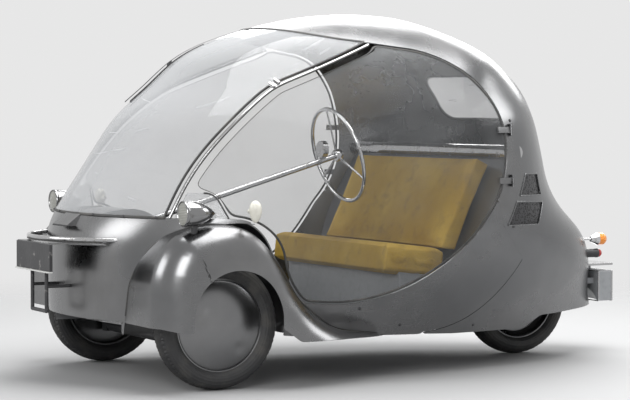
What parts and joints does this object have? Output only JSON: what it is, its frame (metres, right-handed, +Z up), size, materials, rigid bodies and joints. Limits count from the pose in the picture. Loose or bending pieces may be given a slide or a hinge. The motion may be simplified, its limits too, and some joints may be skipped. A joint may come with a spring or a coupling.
{
  "type": "three wheeled car",
  "caption": "Egg-shaped microcar: polished aluminium body, wrap-round clear panes, bench seat, steered front wheels, one rear wheel and rear-hinged doors.",
  "frame": {"origin": "on the ground, under the middle of the car's overall box", "axes": "+X to the car's left, +Y to its rear, +Z up"},
  "size_m": [1.485, 2.5, 1.3692],
  "materials": {
    "body_aluminium": "polished, scratched and dented",
    "vent_mesh": "perforated sheet",
    "clear_pane": "clear, scratched",
    "rubber_seal": "matt",
    "bright_tube": "bright",
    "floor_aluminium": "brushed",
    "tyre_rubber": "matt",
    "cap_aluminium": "polished",
    "dark_steel": "dark, satin",
    "battery_case": "matt",
    "seat_cloth": "mustard yellow cloth",
    "seat_frame": "satin",
    "lamp_glass": "clear",
    "dark_paint": "satin",
    "lamp_amber": "gloss",
    "knob_white": "gloss"
  },
  "bodies": {
    "chassis": {"nose_panel": "body_aluminium", "sill_left": "body_aluminium", "sill_right": "body_aluminium", "roof_tail_panel": "body_aluminium", "fender_left": "body_aluminium", "fender_right": "body_aluminium", "side_vents": "vent_mesh", "windscreen": "clear_pane", "rear_window": "clear_pane", "corner_pane_left": "clear_pane", "corner_pane_right": "clear_pane", "pillar_left": "bright_tube", "pillar_right": "bright_tube", "floor_pan": "floor_aluminium", "bulkhead_shelf": "floor_aluminium", "front_axle": "dark_steel", "rear_fork": "dark_steel", "battery_block": "battery_case", "motor_block": "dark_steel", "seat_cushion": "seat_cloth", "seat_back": "seat_cloth", "seat_base": "seat_frame", "steering_column": "bright_tube", "steering_gear": "dark_steel", "pedals": "dark_steel", "headlamp_left": "bright_tube", "headlamp_right": "bright_tube", "headlamp_lenses": "lamp_glass", "front_plate": "dark_paint", "nose_bar": "bright_tube", "nose_guard": "bright_tube", "nose_flap": "dark_paint", "rear_plate_box": "dark_paint", "tail_lamps": "dark_paint", "tail_lenses": "lamp_amber", "hinge_brackets": "bright_tube", "wiper": "dark_paint"},
    "knuckle_l": {"knuckle_left": "dark_steel"},
    "knuckle_r": {"knuckle_right": "dark_steel"},
    "wheel_l": {"wheel_front_left": "cap_aluminium", "tyre_front_left": "tyre_rubber"},
    "wheel_r": {"wheel_front_right": "cap_aluminium", "tyre_front_right": "tyre_rubber"},
    "wheel_back": {"wheel_rear": "cap_aluminium", "tyre_rear": "tyre_rubber"},
    "helm": {"steering_wheel": "bright_tube"},
    "door_l": {"door_pane_left": "clear_pane", "door_edge_left": "rubber_seal", "door_hinge_left": "bright_tube", "door_knob_left": "knob_white"},
    "door_r": {"door_pane_right": "clear_pane", "door_edge_right": "rubber_seal", "door_hinge_right": "bright_tube", "door_knob_right": "knob_white"}
  },
  "joints": [
    {"name": "helm_turn", "type": "hinge", "parent": "chassis", "child": "helm", "pos_m": [0.264, -0.114, 0.827], "axis": [0, 0.9593, 0.2823], "range_deg": [-150, 150]},
    {"name": "steer_l", "type": "hinge", "parent": "chassis", "child": "knuckle_l", "pos_m": [0.446, -0.748, 0.2325], "axis": [0, 0, 1], "range_deg": [-20, 20]},
    {"name": "steer_r", "type": "hinge", "parent": "chassis", "child": "knuckle_r", "pos_m": [-0.446, -0.748, 0.2325], "axis": [0, 0, 1], "range_deg": [-20, 20]},
    {"name": "roll_l", "type": "hinge", "parent": "knuckle_l", "child": "wheel_l", "pos_m": [0.5105, -0.748, 0.2325], "axis": [1, 0, 0], "continuous": true},
    {"name": "roll_r", "type": "hinge", "parent": "knuckle_r", "child": "wheel_r", "pos_m": [-0.5105, -0.748, 0.2325], "axis": [1, 0, 0], "continuous": true},
    {"name": "roll_back", "type": "hinge", "parent": "chassis", "child": "wheel_back", "pos_m": [0, 0.863, 0.2325], "axis": [1, 0, 0], "continuous": true},
    {"name": "door_l_swing", "type": "hinge", "parent": "chassis", "child": "door_l", "pos_m": [0.65828, 0.42, 0.735], "axis": [-0.0799, 0, 0.9968], "range_deg": [0, 60]},
    {"name": "door_r_swing", "type": "hinge", "parent": "chassis", "child": "door_r", "pos_m": [-0.65828, 0.42, 0.735], "axis": [-0.0799, 0, -0.9968], "range_deg": [0, 60]}
  ],
  "couplings": [
    {"joint": "steer_l", "follows": "helm_turn", "ratio": 0.1333},
    {"joint": "steer_r", "follows": "helm_turn", "ratio": 0.1333}
  ]
}
